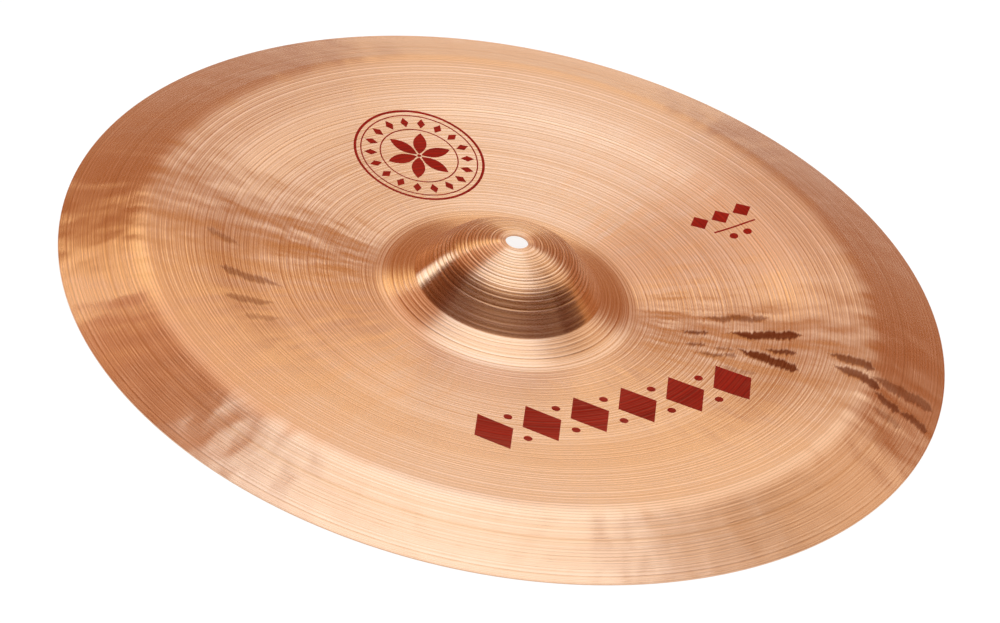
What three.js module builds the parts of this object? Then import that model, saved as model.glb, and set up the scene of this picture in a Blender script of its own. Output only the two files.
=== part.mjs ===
import * as THREE from 'three';

// China cymbal: one sheet of cast, hammered and turned bronze. A raised bell stands in the middle
// of a shallow dished bow, and outside the lip a wide flange turns down to the edge.
// Lengths are in millimetres, +Z is up, and the edge rests on the plane z = 0.

// Sizes of the whole cymbal
const cymbalDiameter = 508;
const holeDiameter = 13;
const bellThickness = 1.1;
const flangeThickness = 0.75;

// The bell, from the flat pad round the hole down to the valley at its foot
const padWidth = 3;
const bellHeight = 35;
const crownDiameter = 42;
const crownDepth = 2.2;
const crownRounding = 60;
const shoulderDiameter = 72.6;
const shoulderDepth = 9;
const shoulderRounding = 24;
const wallFootDiameter = 106.6;
const wallFootHeight = 7.1;
const wallFootRounding = 4;
const valleyDiameter = 142;
const valleyHeight = 2.8;
const valleyRounding = 26;

// The bow, from the valley out to the lip, with a hammered step part of the way up.
// Each row of shares gives a corner's place between valley and lip, outwards and upwards.
const bowCornerShares = [
  [0.58, 0.5],
  [0.75, 0.84],
];
const bowRounding = 240;

// The lip and the flange that turns down from it
const lipDiameter = 420;
const flangeDrop = 16;
const lipRounding = 34;

// The edge: a short upright face, and a narrow flat ring under it that the cymbal rests on
const edgeHeight = 0.7;
const edgeRestWidth = 0.8;

// Rings turned into the playing side: fine ones on the bell from near the pad to past the
// shoulder, and a few broader ones round its foot. The pitch is the width of one ring.
const bellRingInset = 1.6;
const bellRingsDiameter = 76;
const bellRingPitch = 1.9;
const bellRingDepth = 0.14;
const footRingsInnerDiameter = 114;
const footRingsOuterDiameter = 130;
const footRingPitch = 2.5;
const footRingDepth = 0.16;

// Facets: sides round the cymbal, and the largest turn of one step along a rounding
const sidesRound = 72;
const playingTurnPerStep = THREE.MathUtils.degToRad(6);
const undersideTurnPerStep = THREE.MathUtils.degToRad(12);
const ringTurnPerStep = THREE.MathUtils.degToRad(1);

const bronze = new THREE.MeshStandardMaterial({ color: 0xd99a68, roughness: 0.32, metalness: 1 });

const padDiameter = holeDiameter + 2 * padWidth;
const lipHeight = edgeHeight + flangeDrop;

function corner(diameter, height, rounding = 0) {
  return { point: new THREE.Vector2(diameter / 2, height), rounding };
}

// The corners of the playing side, from the hole to the edge
function playingSideCorners() {
  const top = valleyHeight + bellHeight;
  const bow = bowCornerShares.map(([outwardShare, upwardShare]) => corner(
    THREE.MathUtils.lerp(valleyDiameter, lipDiameter, outwardShare),
    THREE.MathUtils.lerp(valleyHeight, lipHeight, upwardShare),
    bowRounding,
  ));
  return [
    corner(holeDiameter, top),
    corner(padDiameter, top),
    corner(crownDiameter, top - crownDepth, crownRounding),
    corner(shoulderDiameter, top - shoulderDepth, shoulderRounding),
    corner(wallFootDiameter, valleyHeight + wallFootHeight, wallFootRounding),
    corner(valleyDiameter, valleyHeight, valleyRounding),
    ...bow,
    corner(lipDiameter, lipHeight, lipRounding),
    corner(cymbalDiameter, edgeHeight),
  ];
}

// The upward normal of a stretch that runs outwards
function upwardNormal(direction) {
  return new THREE.Vector2(-direction.y, direction.x);
}

// How much of the stretch from one corner to a neighbour a rounding may take
function reachTowards(neighbour, at) {
  const length = neighbour.point.distanceTo(at.point);
  return neighbour.rounding > 0 ? length / 2 : length;
}

// An arc that rounds the corner between two stretches and is tangent to both
function roundedCorner(before, at, after, turnPerStep) {
  const inward = at.point.clone().sub(before.point).normalize();
  const outward = after.point.clone().sub(at.point).normalize();
  const reach = Math.min(reachTowards(before, at), reachTowards(after, at));
  const turn = Math.atan2(inward.cross(outward), inward.dot(outward));
  const side = Math.sign(turn);
  const halfTurnTangent = Math.tan(Math.abs(turn) / 2);
  const tangentLength = Math.min(at.rounding * halfTurnTangent, reach);
  const radius = tangentLength / halfTurnTangent;
  const start = at.point.clone().addScaledVector(inward, -tangentLength);
  const centre = start.clone().addScaledVector(upwardNormal(inward), side * radius);
  const steps = Math.max(1, Math.ceil(Math.abs(turn) / turnPerStep));
  const arc = [];
  for (let step = 0; step <= steps; step += 1) {
    const direction = inward.clone().rotateAround(new THREE.Vector2(), (turn * step) / steps);
    const normal = upwardNormal(direction);
    arc.push({ point: centre.clone().addScaledVector(normal, -side * radius), normal });
  }
  return arc;
}

// Points and upward normals along the playing side, stepped as finely as asked
function playingSide(turnPerStep) {
  const corners = playingSideCorners();
  const direction = (from, to) => to.point.clone().sub(from.point).normalize();
  const side = [{ point: corners[0].point, normal: upwardNormal(direction(corners[0], corners[1])) }];
  for (let i = 1; i < corners.length - 1; i += 1) {
    if (corners[i].rounding > 0) {
      side.push(...roundedCorner(corners[i - 1], corners[i], corners[i + 1], turnPerStep));
    } else {
      const normal = upwardNormal(direction(corners[i - 1], corners[i]));
      side.push({ point: corners[i].point, normal });
    }
  }
  return side;
}

// The place on a side at a given radius, between the two nearest of its points
function placeAt(side, radius) {
  const next = Math.max(1, side.findIndex(({ point }) => point.x >= radius));
  const [inner, outer] = [side[next - 1], side[next]];
  const share = THREE.MathUtils.inverseLerp(inner.point.x, outer.point.x, radius);
  return {
    point: inner.point.clone().lerp(outer.point, share),
    normal: inner.normal.clone().lerp(outer.normal, share).normalize(),
  };
}

// Rings between two diameters, each a shallow valley with a crest on the surface at either side
function withRings(side, innerDiameter, outerDiameter, pitch, depth) {
  const exactSide = playingSide(ringTurnPerStep);
  const startRadius = innerDiameter / 2;
  const ringCount = Math.max(0, Math.floor((outerDiameter / 2 - startRadius) / pitch));
  const endRadius = startRadius + ringCount * pitch;
  const rings = [placeAt(exactSide, startRadius)];
  for (let ring = 0; ring < ringCount; ring += 1) {
    const crestRadius = startRadius + (ring + 1) * pitch;
    const valley = placeAt(exactSide, crestRadius - pitch / 2);
    valley.point.addScaledVector(valley.normal, -depth);
    rings.push(valley, placeAt(exactSide, crestRadius));
  }
  return [
    ...side.filter(({ point }) => point.x < startRadius),
    ...rings,
    ...side.filter(({ point }) => point.x > endRadius),
  ];
}

// The playing side with its rings, from the hole to the edge
function turnedPlayingSide() {
  const smooth = playingSide(playingTurnPerStep);
  const bell = withRings(
    smooth, padDiameter + 2 * bellRingInset, bellRingsDiameter, bellRingPitch, bellRingDepth,
  );
  return withRings(
    bell, footRingsInnerDiameter, footRingsOuterDiameter, footRingPitch, footRingDepth,
  );
}

// The sheet is even at the pad, and thins from there to the edge.
function thicknessAt(radius) {
  const share = THREE.MathUtils.inverseLerp(padDiameter / 2, cymbalDiameter / 2, radius);
  return THREE.MathUtils.lerp(bellThickness, flangeThickness, Math.max(share, 0));
}

// The closed section of the sheet: out along the playing side, round the edge, and back along
// the underside, which lies one thickness below
function sheetSection() {
  const edgeRadius = cymbalDiameter / 2;
  const underside = playingSide(undersideTurnPerStep).map(({ point, normal }) => (
    point.clone().addScaledVector(normal, -thicknessAt(point.x))
  ));
  const section = [
    ...turnedPlayingSide().map(({ point }) => point),
    new THREE.Vector2(edgeRadius, edgeHeight),
    new THREE.Vector2(edgeRadius, 0),
    new THREE.Vector2(edgeRadius - edgeRestWidth, 0),
    ...underside.reverse(),
  ];
  section.push(section[0].clone());
  return section.reverse();
}

function makeCymbal() {
  const sheet = new THREE.LatheGeometry(sheetSection(), sidesRound);
  sheet.rotateX(Math.PI / 2);
  const cymbal = new THREE.Mesh(sheet, bronze);
  cymbal.name = 'cymbal';
  return cymbal;
}

const chinaCymbal = new THREE.Group();
chinaCymbal.add(makeCymbal());

export default chinaCymbal;
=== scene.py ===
import math

import bmesh
import bpy
from mathutils import Matrix, Vector


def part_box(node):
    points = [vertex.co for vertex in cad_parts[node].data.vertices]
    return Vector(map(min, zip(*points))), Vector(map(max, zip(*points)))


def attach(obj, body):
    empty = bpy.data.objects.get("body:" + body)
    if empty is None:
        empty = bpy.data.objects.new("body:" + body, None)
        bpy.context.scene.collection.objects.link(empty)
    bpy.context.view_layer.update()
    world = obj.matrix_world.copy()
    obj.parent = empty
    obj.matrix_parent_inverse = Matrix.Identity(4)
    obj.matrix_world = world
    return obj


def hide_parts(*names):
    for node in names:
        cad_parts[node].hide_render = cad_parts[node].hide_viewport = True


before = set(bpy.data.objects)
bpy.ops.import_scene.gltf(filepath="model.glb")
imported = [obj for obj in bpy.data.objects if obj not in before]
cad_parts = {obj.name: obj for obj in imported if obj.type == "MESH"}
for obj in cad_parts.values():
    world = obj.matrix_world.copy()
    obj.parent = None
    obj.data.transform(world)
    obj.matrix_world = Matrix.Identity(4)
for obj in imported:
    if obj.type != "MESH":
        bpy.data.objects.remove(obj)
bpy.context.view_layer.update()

MM = 0.001
cad_low, cad_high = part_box("cymbal")

# Sizes of the sheet, in millimetres, as the solids have them
CYMBAL_DIAMETER = (cad_high.x - cad_low.x) / MM
HOLE_DIAMETER = 13.0
BELL_THICKNESS = 1.1
FLANGE_THICKNESS = 0.75
PAD_WIDTH = 3.0
BELL_HEIGHT = 35.0
CROWN_DIAMETER = 42.0
CROWN_DEPTH = 2.2
CROWN_ROUNDING = 60.0
SHOULDER_DIAMETER = 72.6
SHOULDER_DEPTH = 9.0
SHOULDER_ROUNDING = 24.0
WALL_FOOT_DIAMETER = 106.6
WALL_FOOT_HEIGHT = 7.1
WALL_FOOT_ROUNDING = 4.0
VALLEY_DIAMETER = 142.0
VALLEY_HEIGHT = 2.8
VALLEY_ROUNDING = 26.0
BOW_CORNER_SHARES = ((0.58, 0.5), (0.75, 0.84))
BOW_ROUNDING = 240.0
LIP_DIAMETER = 420.0
FLANGE_DROP = 16.0
LIP_ROUNDING = 34.0
EDGE_HEIGHT = 0.7
EDGE_REST_WIDTH = 0.8

# How finely the sheet is stepped: sides round it, the turn of one step along a rounding, and the
# longest step on the grooved bell, on the rest of the playing side, and on the underside
SIDES = 232
PLAYING_TURN = math.radians(2.5)
UNDERSIDE_TURN = math.radians(5.0)
BELL_STEP = 0.33
BOW_STEP = 1.9
UNDERSIDE_STEP = 4.5

# The bell is stepped finely out to here, because its grooves are cut in the mesh
GROOVED_BELL_RADIUS = 67.0

# Rings turned into the playing side, on the bell and round its foot, in millimetres. Starts and
# ends are radii, and each set of rings fades in and out.
BELL_RING_INSET = 1.6
BELL_RING_START = HOLE_DIAMETER / 2 + PAD_WIDTH + BELL_RING_INSET
BELL_RING_PITCH = 1.9
BELL_GROOVE_DEPTH = 0.14
BELL_GROOVES_END = 48.0
BELL_GROOVE_FADE = 4.0
FOOT_RING_START = 57.0
FOOT_RING_END = 64.5
FOOT_RING_PITCH = 2.5
FOOT_RING_DEPTH = 0.06
FOOT_RING_FADE = 1.5

# A ring's depth changes with noise: changes per ring, the noise's range, and the weakest share
DEPTH_CHANGES_PER_RING = 0.9
DEPTH_NOISE_RANGE = (0.25, 0.7)
WEAKEST_RING_SHARE = 0.45

# Hammering of the mesh. Noise swings by a half round 0.5, and is doubled to swing by its depth.
HAMMER_FADE = 18.0
WARPS_PER_METRE = 17.0
NOISE_MIDDLE = 0.5
NOISE_GAIN = 2.0

# A surface is the playing side where its normal rises at least this much
UPWARD_SHARE = 0.1
SHARP_ANGLE = math.radians(38)
WELD_DISTANCE = 0.001


class Nodes:
    """Adds nodes to a node tree, and feeds their sockets with values or with other sockets."""

    def __init__(self, tree):
        self.tree = tree

    def feed(self, socket, value):
        if isinstance(value, bpy.types.NodeSocket):
            self.tree.links.new(value, socket)
        else:
            socket.default_value = value

    def add(self, kind, settings=None, **inputs):
        made = self.tree.nodes.new(kind)
        for name, value in (settings or {}).items():
            setattr(made, name, value)
        for name, value in inputs.items():
            self.feed(made.inputs[name.replace("_", " ")], value)
        return made

    def math(self, operation, *operands):
        made = self.tree.nodes.new("ShaderNodeMath")
        made.operation = operation
        for socket, value in zip(made.inputs, operands):
            self.feed(socket, value)
        return made.outputs[0]

    def vector(self, operation, *operands):
        made = self.tree.nodes.new("ShaderNodeVectorMath")
        made.operation = operation
        for socket, value in zip(made.inputs, operands):
            self.feed(socket, value)
        return made.outputs["Value" if operation == "LENGTH" else "Vector"]

    def ramp(self, value, low, high, to_low=0.0, to_high=1.0, curve="SMOOTHSTEP"):
        """A step of value, from to_low at low to to_high at high, with a smooth curve or LINEAR"""
        made = self.add("ShaderNodeMapRange", {"interpolation_type": curve})
        for name, fed in (("Value", value), ("From Min", low), ("From Max", high),
                          ("To Min", to_low), ("To Max", to_high)):
            self.feed(made.inputs[name], fed)
        return made.outputs[0]

    def combine(self, x, y, z):
        return self.add("ShaderNodeCombineXYZ", X=x, Y=y, Z=z).outputs[0]

    def separate(self, vector):
        return self.add("ShaderNodeSeparateXYZ", Vector=vector).outputs


def new_group(name, kind, inputs, outputs):
    """A node group with named sockets. Returns the group, its nodes and its input sockets."""
    group = bpy.data.node_groups.new(name, kind)
    for title, socket_type, default in inputs:
        socket = group.interface.new_socket(title, in_out="INPUT", socket_type=socket_type)
        if default is not None:
            socket.default_value = default
    for title, socket_type in outputs:
        group.interface.new_socket(title, in_out="OUTPUT", socket_type=socket_type)
    return group, Nodes(group), group.nodes.new("NodeGroupInput").outputs


def finish_group(nodes, **outputs):
    end = nodes.tree.nodes.new("NodeGroupOutput")
    for name, value in outputs.items():
        nodes.feed(end.inputs[name.replace("_", " ")], value)


# The section of the sheet

def corner(diameter, height, rounding=0.0):
    return Vector((diameter / 2, height)), rounding


def playing_side_corners():
    top = VALLEY_HEIGHT + BELL_HEIGHT
    lip_height = EDGE_HEIGHT + FLANGE_DROP
    bow = [
        corner(VALLEY_DIAMETER + outward * (LIP_DIAMETER - VALLEY_DIAMETER),
               VALLEY_HEIGHT + upward * (lip_height - VALLEY_HEIGHT), BOW_ROUNDING)
        for outward, upward in BOW_CORNER_SHARES
    ]
    return [
        corner(HOLE_DIAMETER, top),
        corner(HOLE_DIAMETER + 2 * PAD_WIDTH, top),
        corner(CROWN_DIAMETER, top - CROWN_DEPTH, CROWN_ROUNDING),
        corner(SHOULDER_DIAMETER, top - SHOULDER_DEPTH, SHOULDER_ROUNDING),
        corner(WALL_FOOT_DIAMETER, VALLEY_HEIGHT + WALL_FOOT_HEIGHT, WALL_FOOT_ROUNDING),
        corner(VALLEY_DIAMETER, VALLEY_HEIGHT, VALLEY_ROUNDING),
        *bow,
        corner(LIP_DIAMETER, lip_height, LIP_ROUNDING),
        corner(CYMBAL_DIAMETER, EDGE_HEIGHT),
    ]


def upward_normal(direction):
    return Vector((-direction.y, direction.x))


def reach_towards(neighbour, point):
    """How much of the stretch from a corner to its neighbour a rounding may take"""
    length = (neighbour[0] - point).length
    return length / 2 if neighbour[1] > 0 else length


def rounded_corner(before, at, after, turn_per_step, step_length):
    """Points and normals of an arc that rounds a corner and is tangent to both stretches"""
    point, rounding = at
    inward = (point - before[0]).normalized()
    outward = (after[0] - point).normalized()
    turn = math.atan2(inward.cross(outward), inward.dot(outward))
    side = math.copysign(1.0, turn)
    half_turn_tangent = math.tan(abs(turn) / 2)
    reach = min(reach_towards(before, point), reach_towards(after, point))
    tangent_length = min(rounding * half_turn_tangent, reach)
    radius = tangent_length / half_turn_tangent
    centre = point - inward * tangent_length + upward_normal(inward) * side * radius
    steps = math.ceil(max(abs(turn) / turn_per_step, abs(turn) * radius / step_length(point.x)))
    arc = []
    for step in range(steps + 1):
        normal = Matrix.Rotation(turn * step / steps, 2) @ upward_normal(inward)
        arc.append((centre - normal * side * radius, normal))
    return arc


def playing_side(turn_per_step, step_length):
    """Points and upward normals from hole to edge. No step is longer than step_length(radius)."""
    corners = playing_side_corners()
    bends = []
    for i, (point, rounding) in enumerate(corners):
        before, after = corners[max(i - 1, 0)], corners[min(i + 1, len(corners) - 1)]
        if rounding > 0:
            bends += rounded_corner(before, corners[i], after, turn_per_step, step_length)
        else:
            start, end = (point, after[0]) if i == 0 else (before[0], point)
            bends.append((point, upward_normal((end - start).normalized())))
    side = [bends[0]]
    for point, normal in bends[1:]:
        last_point, last_normal = side[-1]
        gap = point - last_point
        steps = max(1, math.ceil(gap.length / step_length(last_point.x)))
        for step in range(1, steps):
            side.append((last_point + gap * step / steps, last_normal.lerp(normal, step / steps)))
        side.append((point, normal))
    return side


def thickness_at(radius):
    pad_radius = HOLE_DIAMETER / 2 + PAD_WIDTH
    share = max((radius - pad_radius) / (CYMBAL_DIAMETER / 2 - pad_radius), 0.0)
    return BELL_THICKNESS + share * (FLANGE_THICKNESS - BELL_THICKNESS)


def playing_step(radius):
    return BELL_STEP if radius < GROOVED_BELL_RADIUS else BOW_STEP


def sheet_section():
    """Points of the closed section in metres, from the hole out along the top and back below"""
    edge_radius = CYMBAL_DIAMETER / 2
    top = [point for point, _ in playing_side(PLAYING_TURN, playing_step)]
    under = [
        point - normal * thickness_at(point.x)
        for point, normal in playing_side(UNDERSIDE_TURN, lambda radius: UNDERSIDE_STEP)[:-1]
    ]
    rim = [Vector((edge_radius, 0.0)), Vector((edge_radius - EDGE_REST_WIDTH, 0.0))]
    closed = [*top, *rim, *reversed(under), top[0]]
    return [(MM * point.x, 0.0, MM * point.y) for point in closed]


# The sheet, turned round the axis with its grooves and hammer marks

def turned_sheet_tree():
    """Sweeps a section round the axis, and cuts grooves and presses hammer marks into it."""
    tree, n, given = new_group("turned_sheet", "GeometryNodeTree", [
        ("Section", "NodeSocketGeometry", None),
        ("Sides", "NodeSocketInt", SIDES),
        ("Groove Pitch", "NodeSocketFloat", MM * BELL_RING_PITCH),
        ("Groove Depth", "NodeSocketFloat", MM * BELL_GROOVE_DEPTH),
        ("Groove Start", "NodeSocketFloat", MM * BELL_RING_START),
        ("Groove End", "NodeSocketFloat", MM * BELL_GROOVES_END),
        ("Foot Ring Pitch", "NodeSocketFloat", MM * FOOT_RING_PITCH),
        ("Foot Ring Depth", "NodeSocketFloat", MM * FOOT_RING_DEPTH),
        ("Foot Ring Start", "NodeSocketFloat", MM * FOOT_RING_START),
        ("Foot Ring End", "NodeSocketFloat", MM * FOOT_RING_END),
        ("Hammer Depth", "NodeSocketFloat", 0.0001),
        ("Hammer Marks Round", "NodeSocketFloat", 60.0),
        ("Hammer Ring Spacing", "NodeSocketFloat", 0.014),
        ("Hammer Start", "NodeSocketFloat", 0.07),
        ("Hammer End", "NodeSocketFloat", 0.25),
        ("Warp Depth", "NodeSocketFloat", 0.0002),
        ("Seed", "NodeSocketFloat", 0.0),
        ("Bronze", "NodeSocketMaterial", None),
    ], [("Sheet", "NodeSocketGeometry")])

    # A grid with one row for each point of the section and one column for each side
    sides = n.math("ADD", given["Sides"], 1.0)
    count = n.add("GeometryNodeAttributeDomainSize", {"component": "MESH"},
                  Geometry=given["Section"]).outputs["Point Count"]
    grid = n.add("GeometryNodeMeshGrid", Vertices_X=count, Vertices_Y=sides).outputs["Mesh"]
    index = n.add("GeometryNodeInputIndex").outputs[0]
    row = n.math("FLOOR", n.math("DIVIDE", index, sides))
    column = n.math("SUBTRACT", index, n.math("MULTIPLY", row, sides))
    angle = n.math("MULTIPLY", n.math("DIVIDE", column, given["Sides"]), math.tau)
    sample = n.add("GeometryNodeSampleIndex", {"data_type": "FLOAT_VECTOR", "domain": "POINT"},
                   Geometry=given["Section"], Index=row)
    n.feed(sample.inputs["Value"], n.add("GeometryNodeInputPosition").outputs[0])
    radius, _, height = n.separate(sample.outputs["Value"])
    around = n.combine(n.math("MULTIPLY", radius, n.math("COSINE", angle)),
                       n.math("MULTIPLY", radius, n.math("SINE", angle)), height)
    swept = n.add("GeometryNodeSetPosition", Geometry=grid, Position=around).outputs[0]
    merged = n.add("GeometryNodeMergeByDistance", Geometry=swept,
                   Distance=MM * WELD_DISTANCE).outputs[0]

    # Where a point lies: its radius, its direction and whether it is on the playing side
    position = n.add("GeometryNodeInputPosition").outputs[0]
    x, y, _ = n.separate(position)
    flat = n.combine(x, y, 0.0)
    radius = n.vector("LENGTH", flat)
    outward = n.vector("NORMALIZE", flat)
    normal = n.add("GeometryNodeInputNormal").outputs[0]
    on_top = n.math("GREATER_THAN", n.separate(normal)[2], UPWARD_SHARE)

    def band(start, end, fade):
        rise = n.ramp(radius, start, n.math("ADD", start, fade))
        fall = n.ramp(radius, n.math("SUBTRACT", end, fade), end, 1.0, 0.0)
        return n.math("MULTIPLY", rise, fall)

    def grooves(pitch, depth, start, end, fade):
        turns = n.math("DIVIDE", n.math("SUBTRACT", radius, start), pitch)
        wave = n.math("COSINE", n.math("MULTIPLY", turns, math.tau))
        cut = n.math("MULTIPLY", n.math("SUBTRACT", wave, 1.0), 0.5)
        uneven = n.add("ShaderNodeTexNoise", {"noise_dimensions": "1D"}, W=turns,
                       Scale=DEPTH_CHANGES_PER_RING)
        weight = n.ramp(uneven.outputs[0], *DEPTH_NOISE_RANGE, WEAKEST_RING_SHARE, 1.0)
        return n.math("MULTIPLY", n.math("MULTIPLY", cut, n.math("MULTIPLY", depth, weight)),
                      band(start, end, fade))

    cut = n.math("ADD",
                 grooves(given["Groove Pitch"], given["Groove Depth"], given["Groove Start"],
                         given["Groove End"], MM * BELL_GROOVE_FADE),
                 grooves(given["Foot Ring Pitch"], given["Foot Ring Depth"],
                         given["Foot Ring Start"], given["Foot Ring End"], MM * FOOT_RING_FADE))
    offset = n.add("ShaderNodeVectorMath", {"operation": "SCALE"},
                   Scale=n.math("MULTIPLY", cut, on_top))
    n.feed(offset.inputs[0], normal)
    grooved = n.add("GeometryNodeSetPosition", Geometry=merged,
                    Offset=offset.outputs[0]).outputs[0]

    # Hammer marks lie in rings, so they are laid out by direction and radius
    rings = n.math("DIVIDE", radius, given["Hammer Ring Spacing"])
    marks_round = n.math("DIVIDE", given["Hammer Marks Round"], math.tau)
    ox, oy, _ = n.separate(outward)
    place = n.combine(n.math("MULTIPLY", ox, marks_round), n.math("MULTIPLY", oy, marks_round),
                      n.math("ADD", rings, given["Seed"]))
    marks = n.add("ShaderNodeTexNoise", {"noise_dimensions": "3D"}, Vector=place, Scale=1.0,
                  Detail=1.0).outputs[0]
    wide = n.add("ShaderNodeTexNoise", {"noise_dimensions": "4D"}, Vector=position,
                 Scale=WARPS_PER_METRE, W=given["Seed"], Detail=0.0).outputs[0]
    area = band(given["Hammer Start"], given["Hammer End"], MM * HAMMER_FADE)
    mark = n.math("MULTIPLY", n.math("SUBTRACT", marks, NOISE_MIDDLE), given["Hammer Depth"])
    warp = n.math("MULTIPLY", n.math("SUBTRACT", wide, NOISE_MIDDLE), given["Warp Depth"])
    pressed = n.math("MULTIPLY", n.math("ADD", mark, warp), area)
    press = n.combine(0.0, 0.0, n.math("MULTIPLY", pressed, NOISE_GAIN))
    hammered = n.add("GeometryNodeSetPosition", Geometry=grooved, Offset=press).outputs[0]

    # The hole's and the edge's corners stay sharp
    angle_between = n.add("GeometryNodeInputMeshEdgeAngle").outputs["Unsigned Angle"]
    sharp = n.math("GREATER_THAN", angle_between, SHARP_ANGLE)
    marked = n.add("GeometryNodeStoreNamedAttribute", {"data_type": "BOOLEAN", "domain": "EDGE"},
                   Geometry=hammered, Name="sharp_edge")
    n.feed(marked.inputs["Value"], sharp)
    smooth = n.add("GeometryNodeSetShadeSmooth", Geometry=marked.outputs[0]).outputs[0]
    whole = n.add("GeometryNodeRealizeInstances", Geometry=smooth).outputs[0]
    dressed = n.add("GeometryNodeSetMaterial", Geometry=whole, Material=given["Bronze"])
    finish_group(n, Sheet=dressed.outputs[0])
    return tree


def point_mesh(name, points):
    mesh = bpy.data.meshes.new(name)
    mesh.from_pydata(points, [], [])
    return mesh


def run_tree(name, mesh, tree, **values):
    """Runs a geometry tree on a mesh, and returns a plain mesh object with the result."""
    source = bpy.data.objects.new(name + "_source", mesh)
    bpy.context.scene.collection.objects.link(source)
    modifier = source.modifiers.new("tree", "NODES")
    modifier.node_group = tree
    sockets = {item.name: item.identifier for item in tree.interface.items_tree
               if item.in_out == "INPUT"}
    for title, value in values.items():
        modifier[sockets[title.replace("_", " ")]] = value
    return plain_mesh(name, source)


def plain_mesh(name, source):
    """A plain mesh object with what the source's modifiers make. The source is removed."""
    graph = bpy.context.evaluated_depsgraph_get()
    made = bpy.data.meshes.new_from_object(source.evaluated_get(graph))
    made.name = name
    bpy.data.objects.remove(source)
    piece = bpy.data.objects.new(name, made)
    bpy.context.scene.collection.objects.link(piece)
    return piece


# The printed ornament: films of red ink that lie on the sheet. Sizes are in millimetres, and a
# motif's steps are how finely its flat mesh is divided, so that it follows the sheet.
FILM_THICKNESS = 0.05
PRINT_LIFT = 0.03
PRINT_WELD_DISTANCE = 0.002
RAY_RISE = 100.0
PETAL_STEPS = (10, 4)
DISC_STEPS = (6, 6)
RING_STEPS = (120, 2)
BAR_STEPS = (12, 1)

# The rows of all the prints run the same way
PRINT_HEADING = math.radians(37)

# The round print: its rings as diameter and width of line, lozenges, petals and the dot between
ROUND_PLACE = (125.0, 122.0)
ROUND_RINGS = ((76.0, 1.6), (69.0, 0.8), (46.0, 0.8))
ROUND_LOZENGE = (8.0, 5.0)
ROUND_LOZENGE_STEPS = 3
ROUND_LOZENGES = 18
ROUND_LOZENGE_RADIUS = 28.8
PETAL = (19.0, 8.0)
PETALS = 6
PETAL_RADIUS = 11.0
DOT_DIAMETER = 2.4

# The band: a row of lozenges, with dots on both sides of the gaps
BAND_PLACE = (118.0, 308.0)
BAND_LOZENGE = (25.0, 36.0)
BAND_LOZENGE_STEPS = 10
BAND_LOZENGES = 6
BAND_SPACING = 31.0
BAND_DOT_DIAMETER = 5.0
BAND_DOT_OFFSET = 11.0

# The small print: a row of lozenges, a bar and a row of dots, the last two moved along a little
SMALL_PLACE = (155.0, 41.0)
SMALL_LOZENGE = (12.0, 12.0)
SMALL_LOZENGE_STEPS = 5
SMALL_LOZENGES = 3
SMALL_LOZENGE_SPACING = 14.0
SMALL_ROW_OFFSET = 9.0
SMALL_BAR = (27.0, 1.2)
SMALL_BAR_OFFSET = -2.0
SMALL_SHIFT = 3.0
SMALL_DOT_DIAMETER = 5.0
SMALL_DOTS = 2
SMALL_DOT_SPACING = 9.0


def grid_patch(columns, rows, shape):
    """A flat mesh of columns by rows faces. shape gives a place for u and v from -1 to 1."""
    mesh = bpy.data.meshes.new("patch")
    points = [(*shape(2 * i / columns - 1, 2 * j / rows - 1), 0.0)
              for j in range(rows + 1) for i in range(columns + 1)]
    faces = []
    for j in range(rows):
        for i in range(columns):
            first = j * (columns + 1) + i
            faces.append((first, first + 1, first + columns + 2, first + columns + 1))
    mesh.from_pydata(points, [], faces)
    return mesh


def lozenge(length, width, steps):
    return grid_patch(steps, steps,
                      lambda u, v: (MM * (u + v) * length / 4, MM * (v - u) * width / 4))


def petal(length, width):
    return grid_patch(*PETAL_STEPS,
                      lambda u, v: (MM * u * length / 2, MM * v * (1 - u * u) * width / 2))


def disc(diameter):
    return grid_patch(*DISC_STEPS,
                      lambda u, v: (MM * u * math.sqrt(1 - v * v / 2) * diameter / 2,
                                    MM * v * math.sqrt(1 - u * u / 2) * diameter / 2))


def ring(diameter, width):
    def shape(u, v):
        radius = (diameter + v * width) / 2
        return -MM * radius * math.cos(math.pi * u), MM * radius * math.sin(math.pi * u)
    return grid_patch(*RING_STEPS, shape)


def bar(length, width):
    return grid_patch(*BAR_STEPS, lambda u, v: (MM * u * length / 2, MM * v * width / 2))


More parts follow.
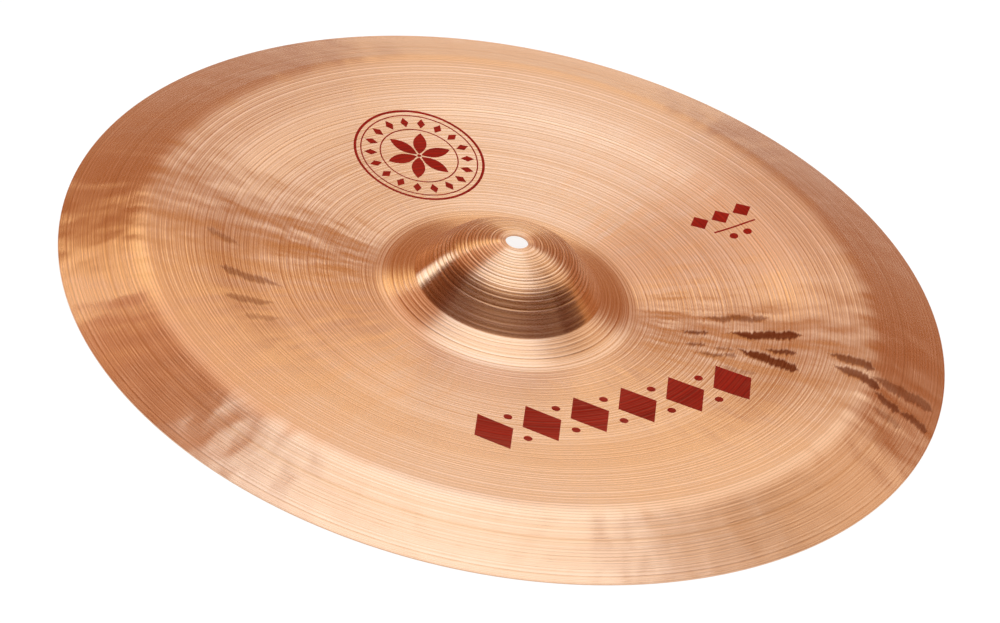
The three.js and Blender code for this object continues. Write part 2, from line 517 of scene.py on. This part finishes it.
def laid_print_tree():
    """Repeats a flat motif in a row or a ring, and lays it on the sheet at a place on the bow."""
    tree, n, given = new_group("laid_print", "GeometryNodeTree", [
        ("Motif", "NodeSocketGeometry", None),
        ("Sheet", "NodeSocketObject", None),
        ("Count", "NodeSocketInt", 1),
        ("Row Spacing", "NodeSocketFloat", 0.0),
        ("Ring Radius", "NodeSocketFloat", 0.0),
        ("Shift", "NodeSocketVector", (0.0, 0.0, 0.0)),
        ("Place Radius", "NodeSocketFloat", 0.12),
        ("Place Direction", "NodeSocketFloat", 0.0),
        ("Heading", "NodeSocketFloat", 0.0),
        ("Lift", "NodeSocketFloat", MM * PRINT_LIFT),
        ("Ink", "NodeSocketMaterial", None),
    ], [("Print", "NodeSocketGeometry")])
    index = n.add("GeometryNodeInputIndex").outputs[0]
    spread = n.math("MULTIPLY", n.math("SUBTRACT", given["Count"], 1.0), 0.5)
    along = n.math("MULTIPLY", n.math("SUBTRACT", index, spread), given["Row Spacing"])
    turn = n.math("MULTIPLY", n.math("DIVIDE", index, given["Count"]), math.tau)
    radius = given["Ring Radius"]
    place = n.combine(n.math("ADD", along, n.math("MULTIPLY", radius, n.math("COSINE", turn))),
                      n.math("MULTIPLY", radius, n.math("SINE", turn)), 0.0)
    place = n.vector("ADD", place, given["Shift"])
    points = n.add("GeometryNodePoints", Count=given["Count"], Position=place).outputs[0]
    in_ring = n.math("GREATER_THAN", radius, 0.0)
    repeated = n.add("GeometryNodeInstanceOnPoints", Points=points, Instance=given["Motif"],
                     Rotation=n.combine(0.0, 0.0, n.math("MULTIPLY", turn, in_ring))).outputs[0]
    whole = n.add("GeometryNodeRealizeInstances", Geometry=repeated).outputs[0]
    whole = n.add("GeometryNodeMergeByDistance", Geometry=whole,
                  Distance=MM * PRINT_WELD_DISTANCE).outputs[0]

    # The whole print is turned so that its rows follow the heading, and moved to its place
    direction = given["Place Direction"]
    centre = n.combine(n.math("MULTIPLY", given["Place Radius"], n.math("COSINE", direction)),
                       n.math("MULTIPLY", given["Place Radius"], n.math("SINE", direction)), 0.0)
    set_down = n.add("GeometryNodeTransform", Geometry=whole, Translation=centre,
                     Rotation=n.combine(0.0, 0.0, given["Heading"])).outputs[0]
    sheet = n.add("GeometryNodeObjectInfo", Object=given["Sheet"]).outputs["Geometry"]
    above = n.vector("ADD", n.add("GeometryNodeInputPosition").outputs[0],
                     (0.0, 0.0, MM * RAY_RISE))
    hit = n.add("GeometryNodeRaycast", Target_Geometry=sheet, Source_Position=above,
                Ray_Direction=(0.0, 0.0, -1.0), Ray_Length=2 * MM * RAY_RISE).outputs
    rise = n.add("ShaderNodeVectorMath", {"operation": "SCALE"}, Scale=given["Lift"])
    n.feed(rise.inputs[0], hit["Hit Normal"])
    laid = n.add("GeometryNodeSetPosition", Geometry=set_down, Position=hit["Hit Position"],
                 Offset=rise.outputs[0]).outputs[0]
    inked = n.add("GeometryNodeSetMaterial", Geometry=laid, Material=given["Ink"])
    finish_group(n, Print=inked.outputs[0])
    return tree


def lay_print(name, tree, sheet, ink, place, motifs):
    """One print: its motifs laid on the sheet, joined, and given the thickness of a film.
    The place is a radius in millimetres and a direction in degrees."""
    place_radius, place_direction = place
    joined = bmesh.new()
    for mesh, layout in motifs:
        laid = run_tree(name + "_motif", mesh, tree, Sheet=sheet, Ink=ink,
                        Place_Radius=MM * place_radius,
                        Place_Direction=math.radians(place_direction),
                        Heading=PRINT_HEADING, **layout)
        joined.from_mesh(laid.data)
        bpy.data.objects.remove(laid)
    mesh = bpy.data.meshes.new(name + "_flat")
    joined.to_mesh(mesh)
    joined.free()
    mesh.materials.append(ink)
    source = bpy.data.objects.new(name + "_source", mesh)
    bpy.context.scene.collection.objects.link(source)
    film = source.modifiers.new("film", "SOLIDIFY")
    film.thickness = MM * FILM_THICKNESS
    film.offset = -1.0
    return plain_mesh(name, source)


def make_prints(sheet, ink):
    tree = laid_print_tree()
    roundel = [(ring(*size), {}) for size in ROUND_RINGS] + [
        (lozenge(*ROUND_LOZENGE, ROUND_LOZENGE_STEPS),
         dict(Count=ROUND_LOZENGES, Ring_Radius=MM * ROUND_LOZENGE_RADIUS)),
        (petal(*PETAL), dict(Count=PETALS, Ring_Radius=MM * PETAL_RADIUS)),
        (disc(DOT_DIAMETER), {}),
    ]
    band = [(lozenge(*BAND_LOZENGE, BAND_LOZENGE_STEPS),
             dict(Count=BAND_LOZENGES, Row_Spacing=MM * BAND_SPACING))]
    for offset in (BAND_DOT_OFFSET, -BAND_DOT_OFFSET):
        band.append((disc(BAND_DOT_DIAMETER),
                     dict(Count=BAND_LOZENGES - 1, Row_Spacing=MM * BAND_SPACING,
                          Shift=(0.0, MM * offset, 0.0))))
    small = [
        (lozenge(*SMALL_LOZENGE, SMALL_LOZENGE_STEPS),
         dict(Count=SMALL_LOZENGES, Row_Spacing=MM * SMALL_LOZENGE_SPACING,
              Shift=(0.0, MM * SMALL_ROW_OFFSET, 0.0))),
        (bar(*SMALL_BAR), dict(Shift=(MM * SMALL_SHIFT, MM * SMALL_BAR_OFFSET, 0.0))),
        (disc(SMALL_DOT_DIAMETER),
         dict(Count=SMALL_DOTS, Row_Spacing=MM * SMALL_DOT_SPACING,
              Shift=(MM * SMALL_SHIFT, MM * -SMALL_ROW_OFFSET, 0.0))),
    ]
    return [
        lay_print("round_print", tree, sheet, ink, ROUND_PLACE, roundel),
        lay_print("band_print", tree, sheet, ink, BAND_PLACE, band),
        lay_print("small_print", tree, sheet, ink, SMALL_PLACE, small),
    ]


# Finishes

# The finish of the flange starts at this radius, in millimetres
FLANGE_FINISH_RADIUS = 200.0

# The lathe waves: how often a metre their strength changes, the weakest, and their weight in the
# tone, which paints shade into the valleys
LATHE_WAVES = {
    "Fine": (420.0, 0.5, 0.35),
    "Middle": (150.0, 0.45, 0.5),
    "Wide": (60.0, 0.25, 0.3),
}
STRENGTH_NOISE_RANGE = (0.35, 0.65)
SCRATCHES_PER_METRE = 1600.0
SCRATCH_WEIGHT = 1.2
TONE_BANDS_PER_METRE = 55.0
TONE_BAND_WEIGHT = 1.4
TONE_LIMIT = 0.75

# The waves drift along the radius by up to so many turns, changing so often a metre
DRIFT_TURNS = 3.0
DRIFTS_PER_METRE = 35.0

# How far the finish takes to change, in millimetres
FLANGE_LINES_FADE = 10.0
FLANGE_HAMMER_FADE = 20.0
VALLEY_HAMMER_FADE = 30.0
BELL_RINGS_RISE = 2.0
BELL_RINGS_FADE = 12.0

# The bell's dark rings, painted shade in the valleys of its grooves: the weakest share, and the
# wave's levels where a ring starts and is full
WEAKEST_DARK_RING = 0.25
DARK_RING_LEVELS = (-0.3, -1.0)

# How often a metre the edges of hammer marks change: jags, and the fray and sway of deep marks
JAGS_PER_METRE = 640.0
FRAYS_PER_METRE = 430.0
SWAYS_PER_METRE = (700.0, 110.0)

# Directions of the deep marks run once round from here. A mark grows over the first share of its
# length, and ends after the last.
MARK_START_ANGLE = math.radians(-15)
MARK_GROWTH_SHARE = 0.45
MARK_END_SHARE = 0.85

def polar_place(n):
    """Radius and angle of the shaded point round the cymbal's axis"""
    x, y, _ = n.separate(n.add("ShaderNodeTexCoord").outputs["Object"])
    return n.vector("LENGTH", n.combine(x, y, 0.0)), n.math("ARCTAN2", y, x)


def ring_noise(n, radius, per_metre, detail=1.0, roughness=0.5):
    """Noise that changes with the radius alone, with an output near 0.5"""
    return n.add("ShaderNodeTexNoise", {"noise_dimensions": "1D"}, W=radius,
                 Scale=per_metre, Detail=detail, Roughness=roughness).outputs[0]


def turning_lines_group():
    """Lathe lines round the axis, by radius alone: height in metres, a mask of the valleys for
    painted groove shade, and a mask of the bell's rings for painted shade.
    """
    group, n, given = new_group("turning_lines", "ShaderNodeTree", [
        ("Fine Pitch", "NodeSocketFloat", 0.0013),
        ("Fine Depth", "NodeSocketFloat", 0.00002),
        ("Middle Pitch", "NodeSocketFloat", 0.0024),
        ("Middle Depth", "NodeSocketFloat", 0.00003),
        ("Wide Pitch", "NodeSocketFloat", 0.0043),
        ("Wide Depth", "NodeSocketFloat", 0.00004),
        ("Scratch Depth", "NodeSocketFloat", 0.00001),
        ("Lip Radius", "NodeSocketFloat", MM * FLANGE_FINISH_RADIUS),
        ("Flange Share", "NodeSocketFloat", 0.5),
        ("Bell Ring Start", "NodeSocketFloat", MM * BELL_RING_START),
        ("Bell Ring Pitch", "NodeSocketFloat", MM * BELL_RING_PITCH),
        ("Bell Ring End", "NodeSocketFloat", 0.05),
    ], [("Height", "NodeSocketFloat"), ("Valleys", "NodeSocketFloat"),
        ("Bell Rings", "NodeSocketFloat")])
    radius, _ = polar_place(n)
    drift = n.math("MULTIPLY", ring_noise(n, radius, DRIFTS_PER_METRE), DRIFT_TURNS)

    def wave(pitch, changes_per_metre, weakest):
        turns = n.math("ADD", n.math("DIVIDE", radius, pitch), drift)
        ridge = n.math("SINE", n.math("MULTIPLY", turns, math.tau))
        strength = n.ramp(ring_noise(n, radius, changes_per_metre), *STRENGTH_NOISE_RANGE,
                          weakest, 1.0)
        return n.math("MULTIPLY", ridge, strength)

    def weighed(parts):
        total = 0.0
        for value, weight in parts:
            total = n.math("ADD", total, n.math("MULTIPLY", value, weight))
        return total

    heights, tones = [], []
    for title, (changes_per_metre, weakest, tone_weight) in LATHE_WAVES.items():
        ridges = wave(given[title + " Pitch"], changes_per_metre, weakest)
        heights.append((ridges, given[title + " Depth"]))
        tones.append((ridges, tone_weight))
    scratch = n.math("SUBTRACT", ring_noise(n, radius, SCRATCHES_PER_METRE, 2.0, 0.6),
                     NOISE_MIDDLE)
    tone_band = n.math("SUBTRACT", ring_noise(n, radius, TONE_BANDS_PER_METRE, 2.0),
                       NOISE_MIDDLE)
    height = weighed(heights + [(scratch, given["Scratch Depth"])])
    # The tone paints shade into the valleys of the grooves, with random bands and scratches
    tone = weighed(tones + [(scratch, SCRATCH_WEIGHT), (tone_band, TONE_BAND_WEIGHT)])
    flange = n.ramp(radius, given["Lip Radius"],
                    n.math("ADD", given["Lip Radius"], MM * FLANGE_LINES_FADE))
    share = n.math("SUBTRACT", 1.0, n.math(
        "MULTIPLY", flange, n.math("SUBTRACT", 1.0, given["Flange Share"])))
    height = n.math("MULTIPLY", height, share)
    tone = n.math("MULTIPLY", tone, share)

    # The bell's dark rings: a mask of painted shade in the valleys of its grooves
    turns = n.math("DIVIDE", n.math("SUBTRACT", radius, given["Bell Ring Start"]),
                   given["Bell Ring Pitch"])
    line = n.math("COSINE", n.math("MULTIPLY", turns, math.tau))
    within = n.math("MULTIPLY",
                    n.ramp(radius, given["Bell Ring Start"],
                           n.math("ADD", given["Bell Ring Start"], MM * BELL_RINGS_RISE)),
                    n.ramp(radius, n.math("SUBTRACT", given["Bell Ring End"],
                                          MM * BELL_RINGS_FADE),
                           given["Bell Ring End"], 1.0, WEAKEST_DARK_RING))
    rings = n.math("MULTIPLY", n.ramp(line, *DARK_RING_LEVELS), within)
    finish_group(n, Height=height, Valleys=n.ramp(tone, TONE_LIMIT, -TONE_LIMIT),
                 Bell_Rings=rings)
    return group


def hammer_marks_group():
    """Marks of the hammer, drawn out along the radius: their height in metres."""
    group, n, given = new_group("hammer_marks", "ShaderNodeTree", [
        ("Marks Round", "NodeSocketFloat", 64.0),
        ("Mark Length", "NodeSocketFloat", 0.03),
        ("Depth", "NodeSocketFloat", 0.0005),
        ("Serration", "NodeSocketFloat", 0.003),
        ("Inner Radius", "NodeSocketFloat", 0.068),
        ("Lip Radius", "NodeSocketFloat", MM * FLANGE_FINISH_RADIUS),
        ("Flange Gain", "NodeSocketFloat", 2.2),
        ("Seed", "NodeSocketFloat", 0.0),
    ], [("Height", "NodeSocketFloat")])
    radius, angle = polar_place(n)
    jag = n.math("SUBTRACT", ring_noise(n, radius, JAGS_PER_METRE), NOISE_MIDDLE)
    aside = n.math("MULTIPLY", jag, given["Serration"])
    angle = n.math("ADD", angle, n.math("DIVIDE", aside, radius))
    reach = n.math("DIVIDE", given["Marks Round"], math.tau)
    place = n.combine(n.math("MULTIPLY", n.math("COSINE", angle), reach),
                      n.math("MULTIPLY", n.math("SINE", angle), reach),
                      n.math("ADD", n.math("DIVIDE", radius, given["Mark Length"]), given["Seed"]))
    marks = n.add("ShaderNodeTexNoise", {"noise_dimensions": "3D"}, Vector=place, Scale=1.0,
                  Detail=1.5, Roughness=0.45).outputs[0]
    rise = n.ramp(radius, given["Inner Radius"],
                  n.math("ADD", given["Inner Radius"], MM * VALLEY_HAMMER_FADE))
    gain = n.ramp(radius, given["Lip Radius"],
                  n.math("ADD", given["Lip Radius"], MM * FLANGE_HAMMER_FADE),
                  1.0, given["Flange Gain"])
    fade = n.math("MULTIPLY", rise, gain)
    height = n.math("MULTIPLY", n.math("SUBTRACT", marks, NOISE_MIDDLE),
                    n.math("MULTIPLY", given["Depth"], fade))
    finish_group(n, Height=height)
    return group


def dark_mark_group():
    """A single deep hammer mark, drawn out along the radius, as a mask that dents the bronze and
    paints a dark reflection into its colour. Fray and Sway move its edges by lengths that change
    with the radius, so that it is ragged where lathe lines cross it."""
    group, n, given = new_group("dark_mark", "ShaderNodeTree", [
        ("From Radius", "NodeSocketFloat", 0.12),
        ("From Angle", "NodeSocketFloat", 0.0),
        ("To Radius", "NodeSocketFloat", 0.15),
        ("To Angle", "NodeSocketFloat", 0.0),
        ("Half Width", "NodeSocketFloat", 0.004),
        ("Soft Edge", "NodeSocketFloat", 0.0032),
        ("Fray", "NodeSocketFloat", 0.0),
        ("Sway", "NodeSocketFloat", 0.0),
        ("Strength", "NodeSocketFloat", 1.0),
    ], [("Mark", "NodeSocketFloat")])
    radius, angle = polar_place(n)
    angle = n.math("WRAP", angle, MARK_START_ANGLE + math.tau, MARK_START_ANGLE)
    along = n.ramp(radius, given["From Radius"], given["To Radius"], curve="LINEAR")
    middle = n.math("ADD", given["From Angle"], n.math(
        "MULTIPLY", along, n.math("SUBTRACT", given["To Angle"], given["From Angle"])))
    aside = n.math("MULTIPLY", n.math("SUBTRACT", angle, middle), radius)
    aside = n.math("ADD", aside, given["Sway"])
    taper = n.math("MULTIPLY", n.ramp(along, 0.0, MARK_GROWTH_SHARE),
                   n.ramp(along, 1.0, MARK_END_SHARE))
    width = n.math("MULTIPLY", taper, n.math("ADD", given["Half Width"], given["Fray"]))
    inside = n.math("SUBTRACT", width, n.math("ABSOLUTE", aside))
    finish_group(n, Mark=n.math("MULTIPLY", n.ramp(inside, 0.0, given["Soft Edge"]),
                                given["Strength"]))
    return group


def principled(name, **values):
    """A material with one Principled shader. Returns the material, its nodes and the shader."""
    material = bpy.data.materials.new(name)
    material.use_nodes = True
    nodes = Nodes(material.node_tree)
    shader = material.node_tree.nodes["Principled BSDF"]
    for title, value in values.items():
        shader.inputs[title.replace("_", " ")].default_value = value
    return material, nodes, shader


def group_node(nodes, group, **values):
    made = nodes.tree.nodes.new("ShaderNodeGroup")
    made.node_tree = group
    for title, value in values.items():
        nodes.feed(made.inputs[title.replace("_", " ")], value)
    return made.outputs


# A mix node's two inputs and its output for a kind of value, by number, as their titles repeat
MIX_SOCKETS = {"VECTOR": (4, 5, 1), "RGBA": (6, 7, 2)}


def blend(n, share, first, second, kind="RGBA"):
    """The first value turning into the second as share goes from 0 to 1"""
    first_socket, second_socket, result = MIX_SOCKETS[kind]
    mix = n.add("ShaderNodeMix", {"data_type": kind})
    for socket, value in ((0, share), (first_socket, first), (second_socket, second)):
        n.feed(mix.inputs[socket], value)
    return mix.outputs[result]


# Bare bronze on the crests of the lathe lines; darker in their valleys as painted shade of the
# grooves' walls, with some random tone;
# painted shade in the valleys of the bell's rings; and a painted dark reflection in the deepest
# hammer marks
CREST_COLOUR = (0.88, 0.60, 0.43, 1.0)
VALLEY_SHADE_COLOUR = (0.75, 0.45, 0.265, 1.0)
BELL_RING_SHADE_COLOUR = (0.50, 0.26, 0.12, 1.0)
DARK_REFLECTION_COLOUR = (0.22, 0.055, 0.013, 1.0)

# Where each of those marks starts and ends, as radius in millimetres and direction in degrees,
# then its half width in millimetres and its strength. The soft edge starts a little outside.
DEEP_MARKS = (
    (120, 0.2, 171, 2.9, 4.4, 1.0),
    (128, -4.4, 174, -9.2, 4.6, 1.0),
    (146, -3.8, 169, -3.4, 2.8, 0.9),
    (104, 5.8, 153, 8.4, 3.2, 0.6),
    (98, -2.3, 118, -0.8, 2.2, 0.85),
    (108, -11.8, 138, -8.0, 2.2, 0.6),
    (103, -8.3, 118, -6.8, 2.0, 0.7),
    (118, -6.2, 134, -6.6, 1.8, 0.5),
    (124, -14.5, 152, -13.2, 2.6, 0.35),
    (180, -1.8, 214, -3.4, 4.2, 0.75),
    (184, -4.8, 220, -7.4, 4.4, 0.85),
    (204, -5.6, 252, -4.4, 5.0, 0.55),
    (212, -8.4, 234, -9.4, 3.6, 0.75),
    (228, -9.0, 252, -9.2, 3.6, 0.7),
    (214, -11.5, 238, -12.2, 3.2, 0.3),
    (126, 203.0, 168, 197.8, 4.0, 0.55),
    (136, 209.6, 171, 207.2, 3.6, 0.5),
    (148, 189.5, 174, 186.5, 3.2, 0.35),
    (140, 215.0, 166, 213.5, 3.2, 0.35),
)
MARK_SOFT_MARGIN = 1.0
MARK_FRAY = 0.0032
HAMMER_DEPTH = 0.00045
DEEP_MARK_DEPTH = 0.00004

# Red ink on the crests of the lathe lines, and darker in their valleys as painted shade of the
# grooves
INK_CREST_COLOUR = (0.33, 0.013, 0.005, 1.0)
INK_VALLEY_SHADE_COLOUR = (0.22, 0.009, 0.004, 1.0)


def bronze_material(lines, hammer, deep_mark_and_reflection):
    material, n, shader = principled("turned_bronze", Metallic=1.0, Roughness=0.25,
                                     Anisotropic=1.0, Anisotropic_Rotation=0.25)
    turning = group_node(n, lines)
    hammering = group_node(n, hammer, Depth=HAMMER_DEPTH)
    radius, _ = polar_place(n)

    def swing(per_metre, size):
        noise = n.math("SUBTRACT", ring_noise(n, radius, per_metre), NOISE_MIDDLE)
        return n.math("MULTIPLY", noise, size)

    fray = swing(FRAYS_PER_METRE, MARK_FRAY)
    sway = n.math("ADD", *(swing(per_metre, MARK_FRAY) for per_metre in SWAYS_PER_METRE))
    # The deep hammer marks: dents, and a painted dark reflection in their colour
    marks = 0.0
    for from_radius, from_angle, to_radius, to_angle, half_width, strength in DEEP_MARKS:
        mark = group_node(n, deep_mark_and_reflection, From_Radius=MM * from_radius, To_Radius=MM * to_radius,
                          From_Angle=math.radians(from_angle), To_Angle=math.radians(to_angle),
                          Half_Width=MM * (half_width + MARK_SOFT_MARGIN), Strength=strength,
                          Fray=fray, Sway=sway)
        marks = n.math("MAXIMUM", marks, mark["Mark"])
    facing_up = n.separate(n.add("ShaderNodeTexCoord").outputs["Normal"])[2]
    marks = n.math("MULTIPLY", marks, n.ramp(facing_up, -UPWARD_SHARE, UPWARD_SHARE))
    # The valleys of the lathe lines are darkened as painted shade, with some random tone
    colour = blend(n, turning["Valleys"], CREST_COLOUR, VALLEY_SHADE_COLOUR)
    # The valleys of the bell's rings get painted shade
    colour = blend(n, turning["Bell Rings"], colour, BELL_RING_SHADE_COLOUR)
    # The deep marks get a painted dark reflection
    n.feed(shader.inputs["Base Color"], blend(n, marks, colour, DARK_REFLECTION_COLOUR))
    height = n.math("ADD", turning["Height"], hammering["Height"])
    height = n.math("SUBTRACT", height, n.math("MULTIPLY", marks, DEEP_MARK_DEPTH))
    bump = n.add("ShaderNodeBump", Height=height, Distance=1.0, Strength=1.0)
    n.feed(shader.inputs["Normal"], bump.outputs[0])
    return material


def ink_material(lines, hammer):
    material, n, shader = principled("red_ink", Metallic=1.0, Roughness=0.3,
                                     Anisotropic=0.8, Anisotropic_Rotation=0.25)
    turning = group_node(n, lines)
    # The ink's valleys are darkened as painted shade of the grooves
    colour = blend(n, turning["Valleys"], INK_CREST_COLOUR, INK_VALLEY_SHADE_COLOUR)
    n.feed(shader.inputs["Base Color"], colour)
    height = n.math("ADD", turning["Height"], group_node(n, hammer, Depth=HAMMER_DEPTH)["Height"])
    bump = n.add("ShaderNodeBump", Height=height, Distance=1.0, Strength=0.8)
    n.feed(shader.inputs["Normal"], bump.outputs[0])
    return material


# The studio: camera, floor, pale surroundings, and the cards that reflections see

IMAGE_WIDTH, IMAGE_HEIGHT = 1000, 623
SENSOR_WIDTH = 36.0
FOCAL_PIXELS = 5850.0
CAMERA_DISTANCE = 3.302
CAMERA_ELEVATION = math.radians(35.44)
CAMERA_ROLL = math.radians(12.87)
CENTRE_PIXEL = (505.0, 294.0)

# The floor and the surroundings. The floor glows for the rays that show the background, so that it
# is white there and still keeps the shadow. The world is a little weaker as a light.
WHITE = (1.0, 1.0, 1.0, 1.0)
FLOOR_HALF_SIZE = 3.0
FLOOR_COLOUR = (0.22, 0.22, 0.22, 1.0)
FLOOR_GLOW = 0.84
WORLD_LIGHT = 0.9


def make_camera():
    data = bpy.data.cameras.new("camera")
    data.sensor_width = SENSOR_WIDTH
    data.lens = FOCAL_PIXELS * SENSOR_WIDTH / IMAGE_WIDTH
    data.shift_x = (IMAGE_WIDTH / 2 - CENTRE_PIXEL[0]) / IMAGE_WIDTH
    data.shift_y = (CENTRE_PIXEL[1] - IMAGE_HEIGHT / 2) / IMAGE_WIDTH
    camera = bpy.data.objects.new("camera", data)
    bpy.context.scene.collection.objects.link(camera)
    back = Vector((0.0, -math.cos(CAMERA_ELEVATION), math.sin(CAMERA_ELEVATION)))
    level_right = Vector((1.0, 0.0, 0.0))
    level_up = back.cross(level_right)
    right = level_right * math.cos(CAMERA_ROLL) + level_up * math.sin(CAMERA_ROLL)
    up = level_up * math.cos(CAMERA_ROLL) - level_right * math.sin(CAMERA_ROLL)
    turn = Matrix((right, up, back)).transposed().to_4x4()
    target = Vector((0.0, 0.0, EDGE_HEIGHT * MM))
    camera.matrix_world = Matrix.Translation(target + back * CAMERA_DISTANCE) @ turn
    bpy.context.scene.camera = camera


def make_floor():
    size = FLOOR_HALF_SIZE
    mesh = bpy.data.meshes.new("floor")
    mesh.from_pydata([(-size, -size, 0), (size, -size, 0), (size, size, 0), (-size, size, 0)],
                     [], [(0, 1, 2, 3)])
    floor = bpy.data.objects.new("floor", mesh)
    bpy.context.scene.collection.objects.link(floor)
    material, n, shader = principled("pale_floor", Roughness=0.9)
    shader.inputs["Base Color"].default_value = FLOOR_COLOUR
    shader.inputs["Emission Color"].default_value = WHITE
    n.feed(shader.inputs["Emission Strength"],
           n.math("MULTIPLY", background_rays(n), FLOOR_GLOW))
    mesh.materials.append(material)


def background_rays(n):
    """1 for the rays that show the background: from the camera, from gloss and through glass"""
    path = n.add("ShaderNodeLightPath").outputs
    shown = n.math("MAXIMUM", path["Is Camera Ray"], path["Is Glossy Ray"])
    return n.math("MAXIMUM", shown, path["Is Transmission Ray"])


def make_surroundings():
    world = bpy.data.worlds.new("studio")
    bpy.context.scene.world = world
    world.use_nodes = True
    n = Nodes(world.node_tree)
    shader = world.node_tree.nodes["Background"]
    shader.inputs["Color"].default_value = WHITE
    n.feed(shader.inputs["Strength"], n.ramp(background_rays(n), 0.0, 1.0, WORLD_LIGHT, 1.0))


# The cards and softboxes of the studio, as seen from the cymbal. Azimuth 0 is to the right and 90
# straight behind. Each row: azimuths, elevations, softness of the edges, all in degrees, radiance.
# A later row covers the earlier ones. The values are set one by one.
STUDIO_DARK = (0.11, 0.026, 0.008)
STUDIO_PANELS = (
    ("front_right_card", (-95, -10), (-20, 25), 6, (0.42, 0.26, 0.16)),
    ("front_left_card", (205, 275), (-20, 25), 6, (0.42, 0.26, 0.16)),
    ("upper_card", (-95, 275), (60, 100), 24, (0.54, 0.23, 0.08)),
    ("ceiling", (-95, 275), (70, 100), 10, (1.35, 1.15, 0.90)),
    ("low_back_card", (30, 150), (-8, 36), 6, (0.44, 0.16, 0.045)),
    ("low_right_card", (50, 76), (8, 30), 8, (0.42, 0.16, 0.06)),
    ("low_left_card", (104, 130), (8, 30), 8, (0.48, 0.20, 0.08)),
    ("main_softbox", (14, 166), (56, 100), 20, (1.85, 2.18, 2.50)),
    ("right_card", (26, 58), (34, 66), 8, (0.95, 0.68, 0.45)),
    ("left_card", (120, 162), (30, 62), 10, (0.58, 0.23, 0.09)),
    ("right_softbox", (58, 84), (35, 66), 8, (1.50, 1.50, 1.45)),
    ("middle_card", (84, 97), (35, 60), 6, (1.00, 0.98, 1.05)),
    ("left_softbox", (97, 124), (35, 60), 8, (1.36, 1.10, 0.90)),
    ("low_softbox", (84, 98), (8, 27), 5, (1.45, 1.20, 0.80)),
    ("low_middle", (83, 99), (27, 34), 4, (0.85, 0.55, 0.28)),
    ("yellow_card", (110, 127), (33, 42), 3, (1.75, 1.45, 0.82)),
    ("left_strip", (144, 156), (-8, 30), 4, (1.90, 2.15, 2.30)),
    ("right_strip", (24, 34), (-8, 34), 5, (0.55, 0.28, 0.11)),
    ("left_flag", (160, 200), (-8, 50), 8, (0.14, 0.04, 0.012)),
)
AZIMUTH_START = -90.0
DOME_RADIUS = 3.0
DOME_RINGS = 12
DOME_COLUMNS = 48
DOME_REACH = math.radians(93)


def make_studio_dome():
    """A half sphere of cards and softboxes round the set, which only reflections see"""
    radius, rings, columns = DOME_RADIUS, DOME_RINGS, DOME_COLUMNS
    points = [(0.0, 0.0, radius)]
    for ring in range(1, rings + 1):
        polar = DOME_REACH * ring / rings
        for column in range(columns):
            turn = math.tau * column / columns
            points.append((radius * math.sin(polar) * math.cos(turn),
                           radius * math.sin(polar) * math.sin(turn), radius * math.cos(polar)))
    faces = []
    for column in range(columns):
        following = (column + 1) % columns
        faces.append((0, following + 1, column + 1))
        for ring in range(rings - 1):
            first = 1 + ring * columns
            faces.append((first + column, first + following,
                          first + columns + following, first + columns + column))
    mesh = bpy.data.meshes.new("studio_dome")
    mesh.from_pydata(points, [], faces)
    dome = bpy.data.objects.new("studio_dome", mesh)
    bpy.context.scene.collection.objects.link(dome)
    dome.visible_camera = False
    dome.visible_diffuse = False
    dome.visible_shadow = False

    material = bpy.data.materials.new("studio_cards")
    material.use_nodes = True
    tree = material.node_tree
    tree.nodes.clear()
    n = Nodes(tree)
    place = n.vector("NORMALIZE", n.add("ShaderNodeTexCoord").outputs["Object"])
    x, y, z = n.separate(place)
    azimuth = n.math("MULTIPLY", n.math("ARCTAN2", y, x), math.degrees(1))
    azimuth = n.math("WRAP", azimuth, AZIMUTH_START + 360.0, AZIMUTH_START)
    elevation = n.math("MULTIPLY", n.math("ARCSINE", z), math.degrees(1))
    radiance = STUDIO_DARK
    for title, azimuths, elevations, soft, colour in STUDIO_PANELS:
        mask = n.math("MULTIPLY",
                      n.ramp(azimuth, azimuths[0] - soft / 2, azimuths[0] + soft / 2),
                      n.ramp(azimuth, azimuths[1] - soft / 2, azimuths[1] + soft / 2, 1.0, 0.0))
        rise = n.ramp(elevation, elevations[0] - soft / 2, elevations[0] + soft / 2)
        fall = n.ramp(elevation, elevations[1] - soft / 2, elevations[1] + soft / 2, 1.0, 0.0)
        mask = n.math("MULTIPLY", mask, n.math("MULTIPLY", rise, fall))
        mask.node.label = title
        radiance = blend(n, mask, radiance, colour, "VECTOR")
    glow = n.add("ShaderNodeEmission", Strength=1.0)
    n.feed(glow.inputs["Color"], radiance)
    out = n.add("ShaderNodeOutputMaterial")
    n.feed(out.inputs["Surface"], glow.outputs[0])
    mesh.materials.append(material)


make_camera()
make_floor()
make_surroundings()
make_studio_dome()
bpy.context.scene.view_settings.view_transform = "Standard"

lines = turning_lines_group()
hammer = hammer_marks_group()
cymbal = run_tree("turned_cymbal", point_mesh("section", sheet_section()), turned_sheet_tree(),
                  Bronze=bronze_material(lines, hammer, dark_mark_group()))
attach(cymbal, "root")
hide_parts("cymbal")
for ornament in make_prints(cymbal, ink_material(lines, hammer)):
    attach(ornament, "root")
